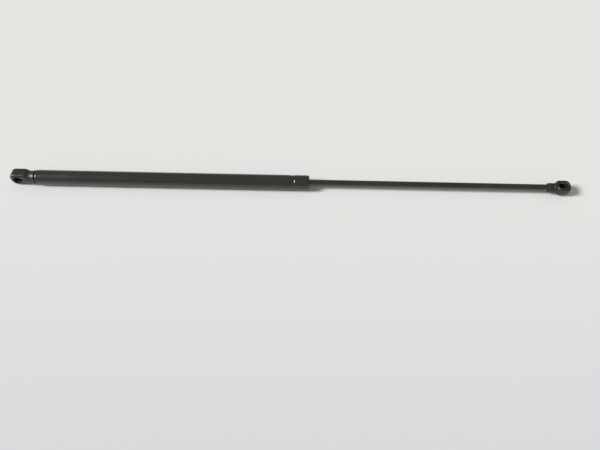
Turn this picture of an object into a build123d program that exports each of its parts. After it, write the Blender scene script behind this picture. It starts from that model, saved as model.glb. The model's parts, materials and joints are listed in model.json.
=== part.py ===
from build123d import *
import os

# Gas strut stay, drawn fully extended, in millimetres.
# The strut's axis is X, from the tube-end ball towards the rod-end ball, and +Z is up.
# The origin is the centre of the tube-end ball.

# ---- driving sizes -------------------------------------------------------------------
stroke = 280.0
tube_diameter = 18.0
tube_wall = 1.0
rod_diameter = 8.0
rod_left_out = 5.4          # rod still showing with the strut fully closed
ball_diameter = 10.0

# rolled mouths of the tube, and the groove that holds the guide pack
rim_opening_wall = 2.1      # how far each mouth is rolled over, measured in from the bore
rim_corner = 2.2
groove_depth = 0.35
groove_half_width = 3.0
groove_wall_run = 0.65      # each of its walls slopes down over this length
groove_corner = 0.6

# base plug
plug_length = 10.0
plug_o_ring_slot = 2.3
o_ring_section = 1.7
oil_space = 2.4             # left between plug and piston with the strut closed

# guide pack, in the order in which it goes into the tube from the rod's end
cover_thickness = 1.0
wiper_length = 2.6
bush_length = 5.8
bush_wall = 0.9
guide_lip = 0.8
wiper_pocket_wall = 1.8
seal_length = 3.2
seal_cup_depth = 1.8
seal_cup_width = 1.3
seal_lip_length = 1.0
support_length = 2.3
buffer_length = 6.0

# piston stack
spigot_diameter = 5.2
front_washer_thickness = 1.2
piston_length = 8.0
piston_ring_width = 3.0
piston_ring_height = 1.45
metering_disc_thickness = 0.6
rear_washer_thickness = 1.6
rivet_height = 1.6
rivet_diameter = 7.6
rivet_face = 3.2
metering_disc_rim = 1.5       # how far the disc stops short of the bore
bypass_diameter = 1.6
orifice_diameter = 0.7

# ball sockets: both heads
mouth_height = 5.9          # from the ball's centre to the face of the mouth
mouth_step = 0.35           # the mouth is this much wider all round than the seat
mouth_lead_in = 0.5
shank_edge = 0.6

# tube-end socket; the walls are measured from the seat
tube_end_reach = 21.5       # from the ball's centre to the end of the shank
tube_end_shank = 15.8
tube_end_flare = 0.6        # the shank widens by this much all round towards the tube
tube_end_flare_length = 4.5
tube_end_neck = 13.2        # from the ball's centre to where the head's cone meets the shank
tube_end_side_wall = 3.95
tube_end_tip_wall = 3.95
tube_end_back_wall = 1.65
tube_end_tip_corner = 7.2
tube_end_face_edge = 2.9
tube_end_back_edge = 2.2

# rod-end socket
rod_end_reach = 17.6
rod_end_shank = 11.5
rod_end_neck = 8.25
rod_end_side_wall = 2.5
rod_end_tip_wall = 3.65
rod_end_back_wall = 1.45
rod_end_tip_corner = 5.0
rod_end_face_edge = 1.8
rod_end_back_edge = 4.8
rod_end_groove_place = 11.4   # from the ball's centre
rod_end_groove_width = 1.4
rod_end_groove_depth = 0.7
socket_gap = 0.3            # between the tube-end shank and the tube's rolled mouth

# threads that hold the sockets on
thread_diameter = 8.0
thread_pitch = 1.25
thread_depth = 0.65
thread_flat = 0.2           # of the pitch, at each crest
thread_turns = 7
thread_run_out = 0.8

# safety clips
clip_thickness = 1.0
clip_width = 1.5
clip_below = 2.9            # from the ball's centre to the clip's inner face
clip_arm_end = 3.5
clip_bow_centre = 3.0
clip_travel = 7.5
pry_width = 4.2
pry_height = 2.6
pry_depth = 1.5

# fits and clearances, all on the radius or on one face
ball_play = 0.05
running_fit = 0.04
seated_fit = 0.05
thread_fit = 0.05
washer_play = 0.3
buffer_gap = 0.3
ring_side_play = 0.1
ring_floor_play = 0.2
clip_play = 0.08
clip_ball_play = 0.08

# ---- worked-out sizes ----------------------------------------------------------------
tube_radius = tube_diameter / 2
bore_radius = tube_radius - tube_wall
rod_radius = rod_diameter / 2
rim_radius = bore_radius - rim_opening_wall
rim_inner_corner = rim_corner - tube_wall
spigot_radius = spigot_diameter / 2

guide_length = wiper_length + bush_length + 2 * guide_lip
pack_length = cover_thickness + guide_length + seal_length + support_length
stack_length = (
    front_washer_thickness + piston_length + metering_disc_thickness
    + rear_washer_thickness + rivet_height
)
tube_length = (
    2 * tube_wall + plug_length + oil_space + stroke + stack_length
    + buffer_gap + buffer_length + pack_length
)
tube_start = tube_end_reach + socket_gap
tube_end = tube_start + tube_length
rod_shank_face = tube_end + stroke + rod_left_out
rod_ball_x = rod_shank_face + rod_end_reach

seat_radius = ball_diameter / 2 + ball_play
mouth_radius = seat_radius + mouth_step
thread_radius = thread_diameter / 2
thread_length = thread_turns * thread_pitch

# half the clip's opening, so that its arms just clear the ball's far side
clip_half_gap = ((ball_diameter / 2) ** 2 - clip_below ** 2) ** 0.5 + clip_ball_play
clip_half_width = clip_half_gap + clip_width


def turned(points):
    # a closed outline of (x, radius) points, turned about the strut's axis
    return revolve(make_face(Polyline(*points, close=True)), axis=Axis.X)


def ring(start, length, outer, inner):
    # a plain ring on the strut's axis
    return turned([(start, inner), (start, outer), (start + length, outer), (start + length, inner)])


# ---- places along the tube -----------------------------------------------------------
plug_start = tube_start + tube_wall
plug_end = plug_start + plug_length
cover_end = tube_end - tube_wall
guide_end = cover_end - cover_thickness
guide_start = guide_end - guide_length
seal_start = guide_start - seal_length
support_start = seal_start - support_length
groove_centre = support_start - groove_half_width
buffer_start = support_start - buffer_length
shoulder_x = buffer_start - buffer_gap       # the rod's shoulder, against the front washer
piston_end = shoulder_x - front_washer_thickness
piston_start = piston_end - piston_length
disc_start = piston_start - metering_disc_thickness
rear_washer_start = disc_start - rear_washer_thickness
rivet_start = rear_washer_start - rivet_height

tube_end_place = Rot(90, 0, 0)
rod_end_place = Pos(rod_ball_x, 0, 0) * Rot(0, 0, 180)


# ---- tube side -----------------------------------------------------------------------
def rolled_groove(radius):
    # the groove's two walls and flat floor, on the tube's outside or in its bore
    near, far = groove_centre - groove_half_width, groove_centre + groove_half_width
    low = radius - groove_depth
    return [(near, radius), (near + groove_wall_run, low), (far - groove_wall_run, low), (far, radius)]


def pressure_tube():
    # one wall, rolled in over the plug at one end and over the guide pack at the other
    inside_start, inside_end = tube_start + tube_wall, tube_end - tube_wall
    outer_groove = rolled_groove(tube_radius)
    inner_groove = rolled_groove(bore_radius)
    wall = make_face(Polyline(
        (tube_start, rim_radius), (tube_start, tube_radius), *outer_groove,
        (tube_end, tube_radius), (tube_end, rim_radius), (inside_end, rim_radius),
        (inside_end, bore_radius), *reversed(inner_groove), (inside_start, bore_radius),
        (inside_start, rim_radius), close=True,
    ))

    def corners(face, places):
        return [v for v in face.vertices() if any((Vector(v) - Vector(*p)).length < 0.01 for p in places)]

    outer = [(tube_start, tube_radius), (tube_end, tube_radius)]
    inner = [(inside_start, bore_radius), (inside_end, bore_radius)]
    wall = fillet(corners(wall, outer), rim_corner)
    wall = fillet(corners(wall, inner), rim_inner_corner)
    wall = fillet(corners(wall, outer_groove + inner_groove), groove_corner)
    return revolve(wall, axis=Axis.X)


def male_thread(reach):
    # crests and roots as plain rings, in the socket's own frame
    return turned(thread_outline(reach, 0.0, 0.0))


def thread_outline(reach, grow, run_out):
    crest = thread_radius + grow
    root = crest - thread_depth
    flank = (1 - thread_flat) / 2 * thread_pitch
    points = [(reach, 0.0), (reach, root)]
    for turn in range(thread_turns):
        start = reach - turn * thread_pitch
        points.append((start - flank, crest))
        points.append((start - thread_pitch + flank, crest))
        points.append((start - thread_pitch, root))
    end = reach - thread_length - run_out
    if run_out:
        points.append((end, root))
    points.append((end, 0.0))
    return points


def base_plug():
    # a disc that the rolled mouth holds, a nose through the mouth, and the stud for the socket
    body = plug_start
    edge = rim_inner_corner
    radius = bore_radius - seated_fit
    floor = bore_radius - o_ring_section
    slot_start = body + (plug_length - plug_o_ring_slot) / 2
    slot_end = slot_start + plug_o_ring_slot
    nose = rim_radius - seated_fit
    solid = turned([
        (tube_end_reach, 0), (tube_end_reach, nose), (body, nose), (body, radius - edge),
        (body + edge, radius), (slot_start, radius), (slot_start, floor), (slot_end, floor),
        (slot_end, radius), (plug_end, radius), (plug_end, 0),
    ])
    return solid + tube_end_place * male_thread(tube_end_reach)


def base_plug_o_ring():
    # squeezed between the slot's floor and the tube's bore
    centre = bore_radius - o_ring_section / 2
    section = o_ring_section / 2 - seated_fit / 2
    slot_centre = plug_start + plug_length / 2
    return Pos(slot_centre, 0, 0) * Rot(0, 90, 0) * Torus(centre, section)


def cover_washer():
    outer = bore_radius - rim_inner_corner
    return ring(guide_end, cover_thickness, outer, rod_radius + washer_play)


def rod_guide():
    # holds the wiper in front and the bush behind it
    outer = bore_radius - seated_fit
    chamfer = guide_lip
    throat = rod_radius + washer_play
    pocket = rod_radius + bush_wall + running_fit + seated_fit
    wiper_pocket = outer - wiper_pocket_wall
    wiper_floor = guide_end - wiper_length
    bush_front = wiper_floor - guide_lip
    bush_back = bush_front - bush_length
    return turned([
        (guide_start, throat), (guide_start, outer), (guide_end - chamfer, outer),
        (guide_end, outer - chamfer), (guide_end, wiper_pocket), (wiper_floor, wiper_pocket),
        (wiper_floor, throat), (bush_front, throat), (bush_front, pocket),
        (bush_back, pocket), (bush_back, throat),
    ])


def guide_bush():
    front = guide_end - wiper_length - guide_lip
    inner = rod_radius + running_fit
    return ring(front - bush_length, bush_length, inner + bush_wall, inner)


def dust_wiper():
    # a rubber ring with one lip leaning outwards along the rod
    outer = bore_radius - 2 * seated_fit - wiper_pocket_wall
    back = guide_end - wiper_length
    lip = rod_radius + running_fit
    body = rod_radius + 2 * washer_play
    middle = back + wiper_length / 2
    waist = (outer + body) / 2
    return turned([
        (back, body), (back, outer), (guide_end - seated_fit, outer), (middle + washer_play, waist),
        (guide_end - seated_fit, lip + washer_play), (guide_end - seated_fit, lip),
        (middle, lip + washer_play),
    ])


def rod_seal():
    # a cup with two lips, one on the rod and one in the tube, open towards the gas
    outer = bore_radius - seated_fit
    lip = rod_radius + running_fit
    cup_floor = seal_start + seal_cup_depth
    middle = (outer + lip) / 2
    half_cup = seal_cup_width / 2
    inner = lip + washer_play
    relief = seal_start + seal_lip_length
    return turned([
        (seal_start, lip), (seal_start, middle - half_cup), (cup_floor, middle - half_cup / 2),
        (cup_floor, middle + half_cup / 2), (seal_start, middle + half_cup), (seal_start, outer),
        (guide_start, outer), (guide_start, inner), (relief, inner),
    ])


def seal_support():
    outer = bore_radius - seated_fit
    return ring(support_start, support_length, outer, rod_radius + washer_play)


def stop_buffer():
    # takes the piston's front washer at the end of the stroke
    outer = bore_radius - groove_depth - washer_play
    inner = rod_radius + washer_play
    return fillet(ring(buffer_start, buffer_length, outer, inner).edges(), washer_play)


# ---- rod side ------------------------------------------------------------------------
def piston_rod():
    # the bar, its spigot with a riveted head, and the thread for the socket
    edge = rivet_diameter / 2
    bar = turned([
        (rivet_start, 0), (rivet_start, rivet_face / 2), (rivet_start + rivet_height / 2, edge),
        (rear_washer_start, edge), (rear_washer_start, spigot_radius), (shoulder_x, spigot_radius),
        (shoulder_x, rod_radius), (rod_shank_face, rod_radius), (rod_shank_face, 0),
    ])
    return bar + rod_end_place * male_thread(rod_end_reach)


def bypass(start, length, diameter):
    # a hole along the strut, off its axis, that lets gas past the piston
    off = (spigot_radius + bore_radius) / 2
    return Pos(start + length / 2, 0, off) * Rot(0, 90, 0) * Cylinder(diameter / 2, 2 * length)


def piston_front_washer():
    outer = bore_radius - groove_depth - washer_play
    washer = ring(piston_end, front_washer_thickness, outer, spigot_radius + seated_fit)
    return washer - bypass(piston_end, front_washer_thickness, bypass_diameter)


def piston():
    outer = bore_radius - ring_floor_play
    floor = bore_radius - running_fit - piston_ring_height - ring_floor_play
    slot = piston_ring_width + 2 * ring_side_play
    slot_start = piston_start + (piston_length - slot) / 2
    slot_end = slot_start + slot
    inner = spigot_radius + seated_fit
    solid = turned([
        (piston_start, inner), (piston_start, outer), (slot_start, outer), (slot_start, floor),
        (slot_end, floor), (slot_end, outer), (piston_end, outer), (piston_end, inner),
    ])
    return solid - bypass(piston_start, piston_length, bypass_diameter)


def piston_ring():
    # split, so that it springs out against the bore
    outer = bore_radius - running_fit
    start = piston_start + (piston_length - piston_ring_width) / 2
    whole = ring(start, piston_ring_width, outer, outer - piston_ring_height)
    split = Pos(start + piston_ring_width / 2, 0, -outer) * Rot(0, 0, 45)
    return whole - split * Box(4 * piston_ring_width, 2 * ring_floor_play, 4 * piston_ring_height)


def metering_disc():
    outer = bore_radius - metering_disc_rim
    disc = ring(disc_start, metering_disc_thickness, outer, spigot_radius + seated_fit)
    return disc - bypass(disc_start, metering_disc_thickness, orifice_diameter)


def piston_rear_washer():
    outer = (spigot_radius + bore_radius - bypass_diameter) / 2
    return ring(rear_washer_start, rear_washer_thickness, outer, spigot_radius + seated_fit)


# ---- ball sockets and clips, drawn with the shank along +X and the mouth along +Z ----
def clip_outline(half_width, arm_end):
    # a hairpin's outer edge: a half circle at the bow and two straight sides
    bow = Pos(-clip_bow_centre, 0) * Circle(half_width)
    length = arm_end + clip_bow_centre
    sides = Pos(length / 2 - clip_bow_centre, 0) * Rectangle(length, 2 * half_width)
    return bow + sides


def clip_slot(tip):
    # the path of the clip, from its seat to clear of the head
    wide = clip_half_width + clip_play
    inner_end = clip_arm_end + clip_play
    outer_end = tip + clip_travel
    height = clip_thickness + 2 * clip_play
    length = outer_end + inner_end
    whole = Box(length, 2 * wide, height)
    tongue = extrude(clip_outline(clip_half_gap - clip_play, length), height / 2, both=True)
    slot = Pos(inner_end - length / 2, 0, 0) * whole - tongue
    pry = Pos(-tip, 0, 0) * Box(2 * pry_depth, pry_width, pry_height)
    return Pos(0, 0, clip_below + clip_thickness / 2) * (slot + pry)


def head(half_width, tip, back, tip_corner, face_edge, back_edge, neck, shank_radius):
    # round at the tip and straight at the sides, and coned down to the shank
    plan = Pos((neck - tip) / 2, 0) * Rectangle(neck + tip, 2 * half_width)
    plan = fillet(plan.vertices().group_by(Axis.X)[0], tip_corner)
    block = Pos(0, 0, -back) * extrude(plan, back + mouth_height)
    rim = [e for e in block.edges().group_by(Axis.Z)[-1] if e.center().X < neck - 0.01]
    block = fillet(rim, face_edge)
    rim = [e for e in block.edges().group_by(Axis.Z)[0] if e.center().X < neck - 0.01]
    block = fillet(rim, back_edge)
    start = -2 * tip
    cone = turned([(start, 0), (start, shank_radius + neck - start), (neck, shank_radius), (neck, 0)])
    return block & cone


def seat():
    # the ball's seat and the mouth that leads to it
    hollow = Sphere(seat_radius) + Pos(0, 0, clip_below / 2) * Cylinder(seat_radius, clip_below)
    mouth_length = mouth_height - clip_below
    hollow += Pos(0, 0, clip_below + mouth_length / 2) * Cylinder(mouth_radius, mouth_length)
    lead = Cone(mouth_radius, mouth_radius + mouth_lead_in, mouth_lead_in)
    return hollow + Pos(0, 0, mouth_height - mouth_lead_in / 2) * lead


def shank(reach, radius, half_width, back, neck, flare, flare_length):
    # grows out of the head's back, and stands clear of the stud's collar, which turns above the mouth
    end = radius + flare
    bar = turned([
        (0, 0), (0, min(radius, back)), (neck, radius), (reach - flare_length, radius),
        (reach - shank_edge, end), (reach, end - shank_edge), (reach, 0),
    ])
    return bar - Pos(0, 0, mouth_height + radius / 2) * Cylinder(half_width, radius)


def tube_end_socket():
    half_width = seat_radius + tube_end_side_wall
    tip = seat_radius + tube_end_tip_wall
    back = seat_radius + tube_end_back_wall
    radius = tube_end_shank / 2
    body = head(
        half_width, tip, back, tube_end_tip_corner, tube_end_face_edge, tube_end_back_edge,
        tube_end_neck, radius,
    )
    body += shank(
        tube_end_reach, radius, half_width, back, tube_end_neck, tube_end_flare, tube_end_flare_length,
    )
    body -= seat() + clip_slot(tip)
    return body - turned(thread_outline(tube_end_reach, thread_fit, thread_run_out))


def rod_end_socket():
    half_width = seat_radius + rod_end_side_wall
    tip = seat_radius + rod_end_tip_wall
    back = seat_radius + rod_end_back_wall
    radius = rod_end_shank / 2
    body = head(
        half_width, tip, back, rod_end_tip_corner, rod_end_face_edge, rod_end_back_edge,
        rod_end_neck, radius,
    )
    bar = shank(rod_end_reach, radius, half_width, back, rod_end_neck, 0.0, 2 * shank_edge)
    start = rod_end_groove_place - rod_end_groove_width / 2
    bar -= ring(start, rod_end_groove_width, 2 * radius, radius - rod_end_groove_depth)
    body += bar
    body -= seat() + clip_slot(tip)
    return body - turned(thread_outline(rod_end_reach, thread_fit, thread_run_out))


def clip():
    # a flat spring steel hairpin whose arms pass on the mouth's side of the ball
    flat = clip_outline(clip_half_width, clip_arm_end) - clip_outline(clip_half_gap, 2 * clip_arm_end)
    blank = extrude(flat, clip_thickness / 2, both=True)
    return Pos(0, 0, clip_below + clip_thickness / 2) * blank


parts = {
    "pressure_tube": pressure_tube(),
    "base_plug": base_plug(),
    "base_plug_o_ring": base_plug_o_ring(),
    "cover_washer": cover_washer(),
    "dust_wiper": dust_wiper(),
    "guide_bush": guide_bush(),
    "rod_guide": rod_guide(),
    "rod_seal": rod_seal(),
    "seal_support": seal_support(),
    "stop_buffer": stop_buffer(),
    "tube_end_socket": tube_end_place * tube_end_socket(),
    "tube_end_clip": tube_end_place * clip(),
    "piston_rod": piston_rod(),
    "piston_front_washer": piston_front_washer(),
    "piston": piston(),
    "piston_ring": piston_ring(),
    "metering_disc": metering_disc(),
    "piston_rear_washer": piston_rear_washer(),
    "rod_end_socket": rod_end_place * rod_end_socket(),
    "rod_end_clip": rod_end_place * clip(),
}

os.makedirs("parts", exist_ok=True)
for name, shape in parts.items():
    export_step(shape, f"parts/{name}.step")

print("tube", round(tube_length, 3), "from", round(tube_start, 3), "to", round(tube_end, 3))
print("ball centres", round(rod_ball_x, 3), "apart extended,", round(rod_ball_x - stroke, 3), "closed")
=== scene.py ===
import bpy
import bmesh
import json
import math
from mathutils import Matrix, Vector


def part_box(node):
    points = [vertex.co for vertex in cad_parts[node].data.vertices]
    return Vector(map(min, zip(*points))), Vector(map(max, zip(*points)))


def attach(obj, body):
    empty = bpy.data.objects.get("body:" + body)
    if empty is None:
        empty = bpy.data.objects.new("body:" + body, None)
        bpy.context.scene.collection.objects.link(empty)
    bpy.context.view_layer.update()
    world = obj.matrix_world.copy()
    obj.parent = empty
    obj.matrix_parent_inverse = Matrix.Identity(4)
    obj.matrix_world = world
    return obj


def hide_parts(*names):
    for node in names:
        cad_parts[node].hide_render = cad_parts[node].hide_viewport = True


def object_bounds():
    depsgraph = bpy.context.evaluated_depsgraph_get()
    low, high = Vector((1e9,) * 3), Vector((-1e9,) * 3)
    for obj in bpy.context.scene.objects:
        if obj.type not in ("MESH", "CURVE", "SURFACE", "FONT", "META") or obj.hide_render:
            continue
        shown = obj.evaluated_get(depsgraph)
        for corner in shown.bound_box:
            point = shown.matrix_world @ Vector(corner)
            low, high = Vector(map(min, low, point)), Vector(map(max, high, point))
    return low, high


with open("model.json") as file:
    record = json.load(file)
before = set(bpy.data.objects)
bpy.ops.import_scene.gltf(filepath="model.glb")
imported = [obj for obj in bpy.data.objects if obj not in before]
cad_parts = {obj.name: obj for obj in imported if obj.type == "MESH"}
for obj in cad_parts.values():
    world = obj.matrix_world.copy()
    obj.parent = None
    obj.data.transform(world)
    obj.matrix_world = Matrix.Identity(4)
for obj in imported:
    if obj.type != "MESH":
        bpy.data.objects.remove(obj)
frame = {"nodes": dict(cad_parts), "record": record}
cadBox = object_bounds()
scene = bpy.context.scene
mm = 0.001
merging = 0.001 * mm    # points nearer than this become one


def newNode(tree, kind, **settings):
    made = tree.nodes.new(kind)
    for name, value in settings.items():
        setattr(made, name, value)
    return made


def feedSocket(tree, socket, value):
    # a link from another node, or a fixed value
    if isinstance(value, bpy.types.NodeSocket):
        tree.links.new(value, socket)
    else:
        socket.default_value = value


def mathNode(tree, kind, *values):
    made = newNode(tree, "ShaderNodeMath", operation=kind)
    for socket, value in zip(made.inputs, values):
        feedSocket(tree, socket, value)
    return made.outputs[0]


class Finish:
    # a material under construction: its node tree, its shader and a few short cuts

    def __init__(self, name):
        self.material = bpy.data.materials.new(name)
        self.material.use_nodes = True
        self.tree = self.material.node_tree
        self.shader = self.tree.nodes["Principled BSDF"]
        self.place = self.node("ShaderNodeTexCoord").outputs["Object"]

    def node(self, kind, **settings):
        return newNode(self.tree, kind, **settings)

    def feed(self, node, name, value):
        feedSocket(self.tree, node.inputs[name], value)

    def combine(self, kind, *values):
        return mathNode(self.tree, kind, *values)

    def fix(self, **values):
        for name, value in values.items():
            self.shader.inputs[name.replace("_", " ")].default_value = value

    def noise(self, grain, detail, stretch=(1, 1, 1)):
        # grain is the size of a blotch, in metres
        mapping = self.node("ShaderNodeMapping")
        self.feed(mapping, "Vector", self.place)
        self.feed(mapping, "Scale", stretch)
        made = self.node("ShaderNodeTexNoise")
        self.feed(made, "Vector", mapping.outputs["Vector"])
        self.feed(made, "Scale", 1.0 / grain)
        self.feed(made, "Detail", detail)
        return made.outputs["Fac"]

    def ramp(self, value, low, high, first, last):
        # value from low to high becomes first to last, clamped
        made = self.node("ShaderNodeMapRange")
        self.feed(made, "Value", value)
        self.feed(made, "From Min", low)
        self.feed(made, "From Max", high)
        self.feed(made, "To Min", first)
        self.feed(made, "To Max", last)
        return made.outputs["Result"]

    def mix(self, share, first, last):
        made = self.node("ShaderNodeMix", data_type="RGBA")
        self.feed(made, "Factor", share)
        colours = [socket for socket in made.inputs if socket.type == "RGBA"]
        for socket, value in zip(colours, (first, last)):
            feedSocket(self.tree, socket, (*value, 1) if isinstance(value, tuple) else value)
        return [socket for socket in made.outputs if socket.type == "RGBA"][0]

    def axis(self, letter):
        made = self.node("ShaderNodeSeparateXYZ")
        self.feed(made, "Vector", self.place)
        return made.outputs[letter]

    def bump(self, height, depth):
        # depth is the height of the relief, in metres
        made = self.node("ShaderNodeBump")
        self.feed(made, "Height", height)
        self.feed(made, "Distance", depth)
        self.tree.links.new(made.outputs["Normal"], self.shader.inputs["Normal"])

    def colour(self, value):
        self.feed(self.shader, "Base Color", value)

    def roughness(self, value):
        self.feed(self.shader, "Roughness", value)


cameraSet = {
    "fieldOfView": 62.0,                     # degrees across the long side
    "place": (0.34875, -0.3552, 0.48911),    # metres from the tube-end ball
    "pitch": 58.861,                         # degrees down
    "yaw": 1.274,                            # degrees to the left
    "roll": 0.155,
    "sensor": 36.0,
    "nearest": 0.01,
}


def makeCamera():
    data = bpy.data.cameras.new("camera")
    data.sensor_width = cameraSet["sensor"]
    data.angle = math.radians(cameraSet["fieldOfView"])
    data.clip_start = cameraSet["nearest"]
    camera = bpy.data.objects.new("camera", data)
    scene.collection.objects.link(camera)
    turn = Matrix.Rotation(math.radians(cameraSet["yaw"]), 4, "Z")
    turn = turn @ Matrix.Rotation(math.radians(90 - cameraSet["pitch"]), 4, "X")
    turn = turn @ Matrix.Rotation(math.radians(cameraSet["roll"]), 4, "Z")
    camera.matrix_world = Matrix.Translation(cameraSet["place"]) @ turn
    scene.camera = camera


lightSet = {
    "height": 36.0,            # degrees above the floor, from the tube's end of the strut
    "aside": 10.5,             # degrees towards the viewer
    "softness": 17.0,          # degrees across
    "strength": 3.7,
    "colour": (0.955, 0.958, 1.0),
    "room": (0.97, 0.96, 0.80),
    "roomStrength": 0.33,
    "wall": (0.72, 0.72, 0.73),
}


def makeLights():
    data = bpy.data.lights.new("window", "SUN")
    data.energy = lightSet["strength"]
    data.angle = math.radians(lightSet["softness"])
    data.color = lightSet["colour"]
    lamp = bpy.data.objects.new("window", data)
    scene.collection.objects.link(lamp)
    height, aside = math.radians(lightSet["height"]), math.radians(lightSet["aside"])
    across = math.cos(height)
    away = Vector((-across * math.cos(aside), -across * math.sin(aside), math.sin(height)))
    lamp.rotation_euler = away.to_track_quat("Z", "Y").to_euler()
    lamp.location = away
    world = bpy.data.worlds.new("room")
    world.use_nodes = True
    tree = world.node_tree
    room = tree.nodes["Background"]
    room.inputs["Color"].default_value = (*lightSet["room"], 1)
    room.inputs["Strength"].default_value = lightSet["roomStrength"]
    wall = newNode(tree, "ShaderNodeBackground")      # seen past the floor, and lights nothing
    wall.inputs["Color"].default_value = (*lightSet["wall"], 1)
    seen = newNode(tree, "ShaderNodeLightPath")
    either = newNode(tree, "ShaderNodeMixShader")
    tree.links.new(seen.outputs["Is Camera Ray"], either.inputs["Fac"])
    tree.links.new(room.outputs["Background"], either.inputs[1])
    tree.links.new(wall.outputs["Background"], either.inputs[2])
    tree.links.new(either.outputs["Shader"], tree.nodes["World Output"].inputs["Surface"])
    scene.world = world
    scene.view_settings.view_transform = "Standard"


floorSet = {
    "size": 16.0,
    "far": (0.80, 0.80, 0.80),
    # the near colour is painted shade: the paper is painted darker and cooler towards the viewer, where
    # the light falls off
    "near": (0.70, 0.71, 0.745),
    "shadeFrom": -0.02,         # metres, where the painted shade of the light's falloff begins, darker towards the viewer
    "shadeTo": -0.32,
    "roughness": 0.8,
    "gloss": 0.15,
}


def makeFloor():
    half = floorSet["size"] / 2
    middle = (cadBox[0].x + cadBox[1].x) / 2
    mesh = bpy.data.meshes.new("floor")
    corners = [(-half, -half), (half, -half), (half, half), (-half, half)]
    mesh.from_pydata([(middle + x, y, cadBox[0].z) for x, y in corners], [], [(0, 1, 2, 3)])
    floor = bpy.data.objects.new("floor", mesh)
    scene.collection.objects.link(floor)
    paper = Finish("floorPaper")
    # painted shade: the paper is darker towards the viewer, as if its light fell off there
    paintedFalloff = paper.ramp(paper.axis("Y"), floorSet["shadeTo"], floorSet["shadeFrom"], 0.0, 1.0)
    paper.colour(paper.mix(paintedFalloff, floorSet["near"], floorSet["far"]))
    paper.roughness(floorSet["roughness"])
    paper.fix(Specular_IOR_Level=floorSet["gloss"])
    mesh.materials.append(paper.material)


makeCamera()
makeLights()
makeFloor()
print("camera, lights and floor are in place")


def nearX(finish, place, reach):
    # 1 at a place along the strut, fading to 0 at reach from it
    off = finish.combine("SUBTRACT", finish.axis("X"), place)
    return finish.ramp(finish.combine("ABSOLUTE", off), 0.0, reach, 1.0, 0.0)


tubePaintSet = {
    "dark": (0.014, 0.014, 0.013),
    "light": (0.02, 0.02, 0.0185),
    "rubbed": (0.042, 0.042, 0.04),
    "bareSteel": (0.11, 0.108, 0.105),
    "cloud": 0.035,            # metres across a blotch, from here to the scuffs
    "fine": 0.0011,
    "dust": 0.0004,
    "scuff": 0.0016,
    "scuffStretch": (0.12, 1, 1),
    "smooth": 0.19,            # roughness, here and in the next two
    "rough": 0.25,
    "scuffRoughness": 0.12,
    "wornLength": 0.0016,      # metres
    "relief": 0.000012,        # metres high
    "gloss": 0.8,
}


def tubePaint():
    own = tubePaintSet
    low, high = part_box("pressure_tube")
    made = Finish("tubePaint")
    cloud = made.noise(own["cloud"], 4.0)
    fine = made.noise(own["fine"], 2.0)
    dust = made.noise(own["dust"], 2.0)
    scuffs = made.noise(own["scuff"], 5.0, own["scuffStretch"])
    body = made.mix(made.ramp(cloud, 0.3, 0.7, 0.0, 1.0), own["dark"], own["light"])
    body = made.mix(made.ramp(scuffs, 0.66, 0.74, 0.0, 0.5), body, own["rubbed"])
    # bare steel glints where the paint wears at the rolled mouths
    reach = own["wornLength"]
    ends = made.combine("MAXIMUM", nearX(made, low.x, reach), nearX(made, high.x, reach))
    worn = made.combine("MULTIPLY", ends, made.ramp(fine, 0.45, 0.75, 0.0, 1.0))
    made.colour(made.mix(made.ramp(worn, 0.35, 0.75, 0.0, 0.6), body, own["bareSteel"]))
    clouded = made.ramp(cloud, 0.3, 0.7, own["smooth"], own["rough"])
    scuffed = made.ramp(scuffs, 0.6, 0.75, 0.0, own["scuffRoughness"])
    made.roughness(made.combine("ADD", clouded, scuffed))
    orange = made.ramp(fine, 0.2, 0.8, 0.0, 1.0)       # the paint's orange peel
    specks = made.ramp(dust, 0.6, 0.8, 0.0, 0.25)
    made.bump(made.combine("ADD", orange, specks), own["relief"])
    made.fix(Specular_IOR_Level=own["gloss"])
    return made.material


rodSteelSet = {
    "dark": (0.1, 0.096, 0.088),
    "light": (0.125, 0.12, 0.11),
    "drawnLine": (0.17, 0.162, 0.15),
    "cloud": 0.05,             # metres across a blotch, here and for the ring and drawn lines
    "ring": 0.00035,
    "ringStretch": (1, 0.04, 0.04),
    "drawn": 0.0007,
    "drawnStretch": (0.02, 1, 1),
    "smooth": 0.24,
    "rough": 0.28,
    "relief": 0.0000008,       # metres high
}


def rodSteel():
    # fine grinding rings, crossed by a few lines along the rod
    own = rodSteelSet
    made = Finish("rodSteel")
    rings = made.noise(own["ring"], 3.0, own["ringStretch"])
    drawn = made.noise(own["drawn"], 4.0, own["drawnStretch"])
    cloud = made.noise(own["cloud"], 3.0)
    body = made.mix(made.ramp(cloud, 0.3, 0.7, 0.0, 1.0), own["dark"], own["light"])
    made.colour(made.mix(made.ramp(drawn, 0.55, 0.75, 0.0, 0.25), body, own["drawnLine"]))
    ground = made.ramp(rings, 0.3, 0.7, own["smooth"], own["rough"])
    made.roughness(made.combine("ADD", ground, made.ramp(cloud, 0.3, 0.7, -0.02, 0.04)))
    ridges, lines = made.ramp(rings, 0.2, 0.8, 0.0, 1.0), made.ramp(drawn, 0.5, 0.8, 0.0, 0.6)
    made.bump(made.combine("ADD", ridges, lines), own["relief"])
    made.fix(Metallic=1.0)
    return made.material


plasticSet = {
    "flow": 0.009,             # metres across a blotch, as are scratch and each grain
    "scratch": 0.0008,
    "scratchStretch": (1, 0.2, 1),
    "scratchLighter": 2.2,     # times the light colour
    "scratchRoughness": 0.12,
    "relief": 0.00002,
    "gloss": 0.5,
    "tube_socket_plastic": {
        "name": "tubeSocketPlastic",
        "dark": (0.018, 0.018, 0.0172),
        "light": (0.027, 0.027, 0.0258),
        "smooth": 0.32,
        "rough": 0.4,
        "grain": 0.0006,
    },
    "rod_socket_plastic": {
        "name": "rodSocketPlastic",
        "dark": (0.011, 0.0115, 0.0115),
        "light": (0.018, 0.0185, 0.0185),
        "smooth": 0.38,
        "rough": 0.5,
        "grain": 0.0004,
    },
}


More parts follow.
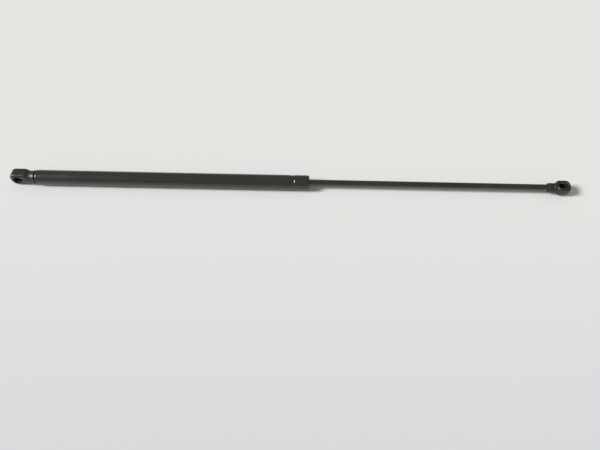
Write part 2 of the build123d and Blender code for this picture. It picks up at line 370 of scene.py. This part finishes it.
def mouldedPlastic(name, dark, light, smooth, rough, grain):
    own = plasticSet
    made = Finish(name)
    flow = made.noise(own["flow"], 4.0)
    pebble = made.noise(grain, 2.0)
    scratch = made.noise(own["scratch"], 6.0, own["scratchStretch"])
    body = made.mix(made.ramp(flow, 0.3, 0.7, 0.0, 1.0), dark, light)
    handled = made.ramp(scratch, 0.62, 0.72, 0.0, 0.45)
    made.colour(made.mix(handled, body, tuple(own["scratchLighter"] * part for part in light)))
    flowed = made.ramp(flow, 0.3, 0.7, smooth, rough)
    scratched = made.ramp(scratch, 0.6, 0.75, 0.0, own["scratchRoughness"])
    made.roughness(made.combine("ADD", flowed, scratched))
    made.bump(made.ramp(pebble, 0.3, 0.7, 0.0, 1.0), own["relief"])
    made.fix(Specular_IOR_Level=own["gloss"])
    return made.material


metalSet = {
    "cloud": 0.004,
    "relief": 0.000006,
    # for each slot: name, dark, light, smooth, rough, grain and, where it is drawn out, its stretch
    "clip_steel": (
        "clipSteel", (0.46, 0.46, 0.44), (0.6, 0.6, 0.57), 0.42, 0.55, 0.0003, (0.1, 1, 1),
    ),
    "turned_steel": (
        "turnedSteel", (0.45, 0.44, 0.43), (0.6, 0.59, 0.58), 0.25, 0.38, 0.0002, (1, 0.05, 0.05),
    ),
    "washer_steel": ("washerSteel", (0.42, 0.42, 0.43), (0.55, 0.55, 0.56), 0.3, 0.42, 0.0004),
    "bush_bronze": ("bushBronze", (0.4, 0.25, 0.12), (0.58, 0.4, 0.2), 0.35, 0.5, 0.0002),
    "piston_aluminium": (
        "pistonAluminium", (0.5, 0.5, 0.52), (0.66, 0.66, 0.68), 0.35, 0.5, 0.0005,
    ),
}


def metal(name, dark, light, smooth, rough, grain, stretch=(1, 1, 1)):
    made = Finish(name)
    cloud = made.noise(metalSet["cloud"], 4.0)
    lines = made.noise(grain, 3.0, stretch)
    made.colour(made.mix(made.ramp(cloud, 0.3, 0.7, 0.0, 1.0), dark, light))
    clouded = made.ramp(cloud, 0.3, 0.7, smooth, rough)
    made.roughness(made.combine("ADD", clouded, made.ramp(lines, 0.3, 0.7, -0.04, 0.06)))
    made.bump(made.ramp(lines, 0.2, 0.8, 0.0, 1.0), metalSet["relief"])
    made.fix(Metallic=1.0)
    return made.material


softSet = {
    "cloud": 0.003,
    "grit": 0.00025,
    "relief": 0.00002,
    "seal_rubber": ("sealRubber", (0.012, 0.012, 0.012), (0.02, 0.02, 0.02), 0.55, 0.7),
    "guide_plastic": ("guidePlastic", (0.05, 0.05, 0.052), (0.08, 0.08, 0.082), 0.4, 0.55),
    "ring_plastic": ("ringPlastic", (0.62, 0.59, 0.52), (0.72, 0.7, 0.63), 0.35, 0.45),
}


def softMould(name, dark, light, smooth, rough):
    made = Finish(name)
    cloud = made.noise(softSet["cloud"], 4.0)
    grit = made.noise(softSet["grit"], 2.0)
    made.colour(made.mix(made.ramp(cloud, 0.3, 0.7, 0.0, 1.0), dark, light))
    made.roughness(made.ramp(cloud, 0.3, 0.7, smooth, rough))
    made.bump(made.ramp(grit, 0.3, 0.7, 0.0, 1.0), softSet["relief"])
    return made.material


finishes = {"tube_paint": tubePaint(), "rod_steel": rodSteel()}
for slot in ("tube_socket_plastic", "rod_socket_plastic"):
    finishes[slot] = mouldedPlastic(**plasticSet[slot])
for maker, table in ((metal, metalSet), (softMould, softSet)):
    for slot, row in table.items():
        if isinstance(row, tuple):
            finishes[slot] = maker(*row)

slotOf = {row["node"]: row["material_slot"] for row in frame["record"]["subparts"]}
for nodeName, cadNode in frame["nodes"].items():
    cadNode.data.materials.clear()
    cadNode.data.materials.append(finishes[slotOf[nodeName]])
print("materials are made")


def turningTree():
    # sweeps an outline of (x, radius) points round the X axis, its corners rounded first
    tree = bpy.data.node_groups.new("turnedPiece", "GeometryNodeTree")
    wanted = {
        "Outline": "NodeSocketGeometry", "Around": "NodeSocketInt", "Corner Steps": "NodeSocketInt",
        "Closed": "NodeSocketInt", "Finish": "NodeSocketMaterial",
    }
    for name, kind in wanted.items():
        tree.interface.new_socket(name, in_out="INPUT", socket_type=kind)
    tree.interface.new_socket("Turned", in_out="OUTPUT", socket_type="NodeSocketGeometry")

    def node(kind, output, settings=None, **inputs):
        # makes a node, feeds its inputs, and gives the named output
        made = newNode(tree, "GeometryNode" + kind, **(settings or {}))
        for name, value in inputs.items():
            feedSocket(tree, made.inputs[name.replace("_", " ")], value)
        return made.outputs[output]

    def combine(kind, *values):
        return mathNode(tree, kind, *values)

    given = newNode(tree, "NodeGroupInput").outputs
    line = node("MeshToCurve", "Curve", Mesh=given["Outline"])
    corner = node("InputNamedAttribute", "Attribute", {"data_type": "FLOAT"}, Name="corner")
    rounded = node(
        "FilletCurve", "Curve", {"mode": "POLY"},
        Curve=line, Count=given["Corner Steps"], Radius=corner, Limit_Radius=True,
    )
    outline = node("CurveToMesh", "Mesh", Curve=rounded)
    count = node("AttributeDomainSize", "Point Count", {"component": "MESH"}, Geometry=outline)

    # one row of the grid for each point of the outline, and one column for each step round
    across = combine("ADD", given["Around"], 1.0)
    rows = combine("ADD", count, given["Closed"])
    grid = node("MeshGrid", "Mesh", Vertices_X=rows, Vertices_Y=across)
    index = node("InputIndex", "Index")
    row = combine("MODULO", combine("FLOOR", combine("DIVIDE", index, across)), count)
    turned = combine("MULTIPLY", combine("MODULO", index, across), math.tau)
    turn = combine("DIVIDE", turned, given["Around"])
    point = node(
        "SampleIndex", "Value", {"data_type": "FLOAT_VECTOR", "domain": "POINT"},
        Geometry=outline, Value=node("InputPosition", "Position"), Index=row,
    )
    split = newNode(tree, "ShaderNodeSeparateXYZ")
    tree.links.new(point, split.inputs["Vector"])
    along, radius = split.outputs["X"], split.outputs["Y"]
    place = newNode(tree, "ShaderNodeCombineXYZ")
    tree.links.new(along, place.inputs["X"])
    tree.links.new(combine("MULTIPLY", radius, combine("COSINE", turn)), place.inputs["Y"])
    tree.links.new(combine("MULTIPLY", radius, combine("SINE", turn)), place.inputs["Z"])
    moved = node("SetPosition", "Geometry", Geometry=grid, Position=place.outputs["Vector"])
    merged = node("MergeByDistance", "Geometry", Geometry=moved, Distance=merging)
    real = node("RealizeInstances", "Geometry", Geometry=merged)
    finished = node("SetMaterial", "Geometry", Geometry=real, Material=given["Finish"])
    tree.links.new(finished, newNode(tree, "NodeGroupOutput").inputs["Turned"])
    return tree


turning = turningTree()
turnedSet = {
    "clear": 0.2,              # millimetres from a rounded corner to the point beside it
    "shortest": 0.4,           # no such points on a run with less than this between them
    "sharpAngle": 32.0,        # degrees
}


def spaced(outline, closed):
    # a point each side of every corner, so that the long faces beside it stay flat in the light
    count = len(outline)
    room = []
    for at, (x, radius, corner) in enumerate(outline):
        before, after = outline[at - 1], outline[(at + 1) % count]
        one = Vector((x - before[0], radius - before[1]))
        other = Vector((after[0] - x, after[1] - radius))
        inner = closed or 0 < at < count - 1
        bend = one.angle(other, 0.0) if inner else 0.0
        room.append(corner * math.tan(bend / 2) + turnedSet["clear"])
    points = []
    for at, point in enumerate(outline):
        points.append(point)
        if at == count - 1 and not closed:
            break
        after = outline[(at + 1) % count]
        run = Vector((after[0] - point[0], after[1] - point[1]))
        first, last = room[at], room[(at + 1) % count]
        if run.length > first + last + turnedSet["shortest"]:
            for along in (first, run.length - last):
                step = run * (along / run.length)
                points.append((point[0] + step.x, point[1] + step.y, 0.0))
    return points


def evaluatedMesh(blank):
    # the plain mesh of an object with its modifiers applied; the object itself goes
    evaluated = blank.evaluated_get(bpy.context.evaluated_depsgraph_get())
    made = bpy.data.meshes.new_from_object(evaluated)
    bpy.data.objects.remove(blank)
    return made


def closedPiece(name, mesh, finish, sharpAngle):
    # merged, facing outwards, smooth but for its sharp edges
    shell = bmesh.new()
    shell.from_mesh(mesh)
    bmesh.ops.remove_doubles(shell, verts=shell.verts, dist=merging)
    bmesh.ops.recalc_face_normals(shell, faces=shell.faces)
    if shell.calc_volume(signed=True) < 0:
        bmesh.ops.reverse_faces(shell, faces=shell.faces)
    for side in shell.faces:
        side.smooth = True
    openEdges = [edge for edge in shell.edges if not edge.is_manifold]
    print(name, "has", len(shell.faces), "faces and", len(openEdges), "open edges")
    shell.to_mesh(mesh)
    shell.free()
    mesh.set_sharp_from_angle(angle=math.radians(sharpAngle))
    mesh.materials.clear()
    mesh.materials.append(finish)
    piece = bpy.data.objects.new(name, mesh)
    scene.collection.objects.link(piece)
    return piece


def turnedPiece(name, outline, closed, finish, own):
    # the outline is in millimetres: (x, radius, size of the rounded corner)
    points = spaced(outline, closed)
    count = len(points)
    edges = [(at, at + 1) for at in range(count - 1)] + ([(count - 1, 0)] if closed else [])
    mesh = bpy.data.meshes.new(name + "Outline")
    mesh.from_pydata([(x * mm, radius * mm, 0.0) for x, radius, corner in points], edges, [])
    corners = mesh.attributes.new("corner", "FLOAT", "POINT")
    corners.data.foreach_set("value", [corner * mm for x, radius, corner in points])
    blank = bpy.data.objects.new(name + "Outline", mesh)
    scene.collection.objects.link(blank)
    modifier = blank.modifiers.new("turning", "NODES")
    modifier.node_group = turning
    values = {
        "Around": own["around"], "Corner Steps": own["cornerSteps"], "Closed": int(closed),
        "Finish": finish,
    }
    for item in turning.interface.items_tree:
        if item.in_out == "INPUT" and item.name in values:
            modifier[item.identifier] = values[item.name]
    blank.update_tag()
    return closedPiece(name, evaluatedMesh(blank), finish, turnedSet["sharpAngle"])


tubeSet = {
    "wall": 1.0,               # millimetres, here and below
    "mouthRadius": 5.9,        # inside the rolled mouths
    "mouthEdge": 0.25,
    "rollCorner": 2.2,
    "grooveHalfWidth": 3.0,
    "grooveDepth": 0.35,
    "grooveWall": 0.65,        # each of its walls slopes down over this length
    "grooveCorner": 0.6,
    "around": 128,
    "cornerSteps": 8,
}


def makeTube():
    own = tubeSet
    low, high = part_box("pressure_tube")
    start, end, radius = low.x / mm, high.x / mm, high.y / mm
    wall, mouth, edge, roll = own["wall"], own["mouthRadius"], own["mouthEdge"], own["rollCorner"]
    bore = radius - wall
    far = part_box("seal_support")[0].x / mm     # the groove holds the washer behind the seal
    near = far - 2 * own["grooveHalfWidth"]

    def groove(level):
        floor, run, corner = level - own["grooveDepth"], own["grooveWall"], own["grooveCorner"]
        return [
            (near, level, corner), (near + run, floor, corner),
            (far - run, floor, corner), (far, level, corner),
        ]

    outline = [(start, mouth, edge), (start, radius, roll), *groove(radius), (end, radius, roll)]
    outline += [(end, mouth, edge), (end - wall, mouth, edge), (end - wall, bore, roll - wall)]
    outline += [*reversed(groove(bore)), (start + wall, bore, roll - wall), (start + wall, mouth, edge)]
    piece = turnedPiece("paintedTube", outline, True, finishes["tube_paint"], own)
    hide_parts("pressure_tube")
    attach(piece, "tube")


rodSet = {
    "spigotRadius": 2.6,       # millimetres, here and below
    "rivetFace": 1.6,
    "rivetRise": 0.8,
    "rivetRadius": 3.8,
    "rivetCorner": 0.4,
    "spigotCorner": 0.1,
    "shoulderCorner": 0.2,
    "faceCorner": 0.3,
    "threadPitch": 1.25,
    "threadTurns": 7,
    "threadDepth": 0.65,
    "threadFlat": 0.2,         # of the pitch, at each crest
    "threadCorner": 0.05,
    "around": 96,
    "cornerSteps": 4,
}


def makeRod():
    own = rodSet
    low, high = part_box("piston_rod")
    start, end, radius = low.x / mm, high.x / mm, high.y / mm
    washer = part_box("piston_rear_washer")[0].x / mm
    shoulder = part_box("piston_front_washer")[1].x / mm
    pitch, turns, crest = own["threadPitch"], own["threadTurns"], own["threadCorner"]
    face = end - pitch * turns
    flank = (1 - own["threadFlat"]) / 2 * pitch
    root = radius - own["threadDepth"]
    spigot, rivet = own["spigotRadius"], own["rivetRadius"]
    blunt, small = own["rivetCorner"], own["spigotCorner"]
    outline = [(start, 0.0, 0.0), (start, own["rivetFace"], blunt)]
    outline += [(start + own["rivetRise"], rivet, blunt), (washer, rivet, small)]
    outline += [(washer, spigot, small), (shoulder, spigot, small)]
    outline += [(shoulder, radius, own["shoulderCorner"]), (face, radius, own["faceCorner"])]
    outline.append((face, root, crest))
    for turn in range(turns):
        x = face + turn * pitch
        outline += [(x + flank, radius, crest), (x + pitch - flank, radius, crest)]
        outline.append((x + pitch, root, crest))
    outline.append((end, 0.0, 0.0))
    piece = turnedPiece("steelRod", outline, False, finishes["rod_steel"], own)
    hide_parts("piston_rod")
    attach(piece, "rod")


makeTube()
makeRod()
print("tube and rod are turned")


# the two moulded sockets, their edges run soft in the mould; a neck is a stretch of the strut's
# axis measured from the ball's centre
socketSet = {
    "grain": 0.28,             # millimetres between points
    "softening": 8,            # rounds of smoothing
    "neckSoftening": 60,
    "softenShare": 0.5,        # of the way to its neighbours' middle, in each round
    "sharpAngle": 180.0,       # degrees, so no edge is sharp
    "neckInside": 5.0,         # millimetres from the axis, which keeps the bore out of it
    "tip": 8.7,                # from the rod-end ball's centre to that head's tip
    "tube_end_socket": {
        "name": "tubeSocket", "body": "tube", "slot": "tube_socket_plastic", "neck": (9.5, 17.5),
    },
    "rod_end_socket": {
        "name": "rodSocket", "body": "rod", "slot": "rod_socket_plastic", "neck": (6.5, 9.8),
    },
}


def soften(shell, points, times):
    for turn in range(times):
        bmesh.ops.smooth_vert(
            shell, verts=points, factor=socketSet["softenShare"],
            use_axis_x=True, use_axis_y=True, use_axis_z=True,
        )


def makeSocket(node, ball):
    own = socketSet[node]
    source = frame["nodes"][node].data.copy()
    shell = bmesh.new()
    shell.from_mesh(source)
    bmesh.ops.remove_doubles(shell, verts=shell.verts, dist=merging)
    shell.to_mesh(source)
    shell.free()
    blank = bpy.data.objects.new(own["name"] + "Blank", source)
    scene.collection.objects.link(blank)
    remesh = blank.modifiers.new("even", "REMESH")
    remesh.mode = "VOXEL"
    remesh.voxel_size = socketSet["grain"] * mm
    made = evaluatedMesh(blank)

    shell = bmesh.new()
    shell.from_mesh(made)
    soften(shell, shell.verts, socketSet["softening"])
    first, last = own["neck"]
    neck = []
    for point in shell.verts:
        along = abs(point.co.x / mm - ball)
        out = math.hypot(point.co.y, point.co.z) / mm
        if first < along < last and out > socketSet["neckInside"]:
            neck.append(point)
    soften(shell, neck, socketSet["neckSoftening"])
    low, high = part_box(node)
    for point in shell.verts:
        point.co = [min(max(value, least), most) for value, least, most in zip(point.co, low, high)]
    shell.to_mesh(made)
    shell.free()
    piece = closedPiece(own["name"], made, finishes[own["slot"]], socketSet["sharpAngle"])
    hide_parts(node)
    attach(piece, own["body"])


makeSocket("tube_end_socket", 0.0)
makeSocket("rod_end_socket", (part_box("rod_end_socket")[1].x / mm) - socketSet["tip"])
print("sockets are moulded")
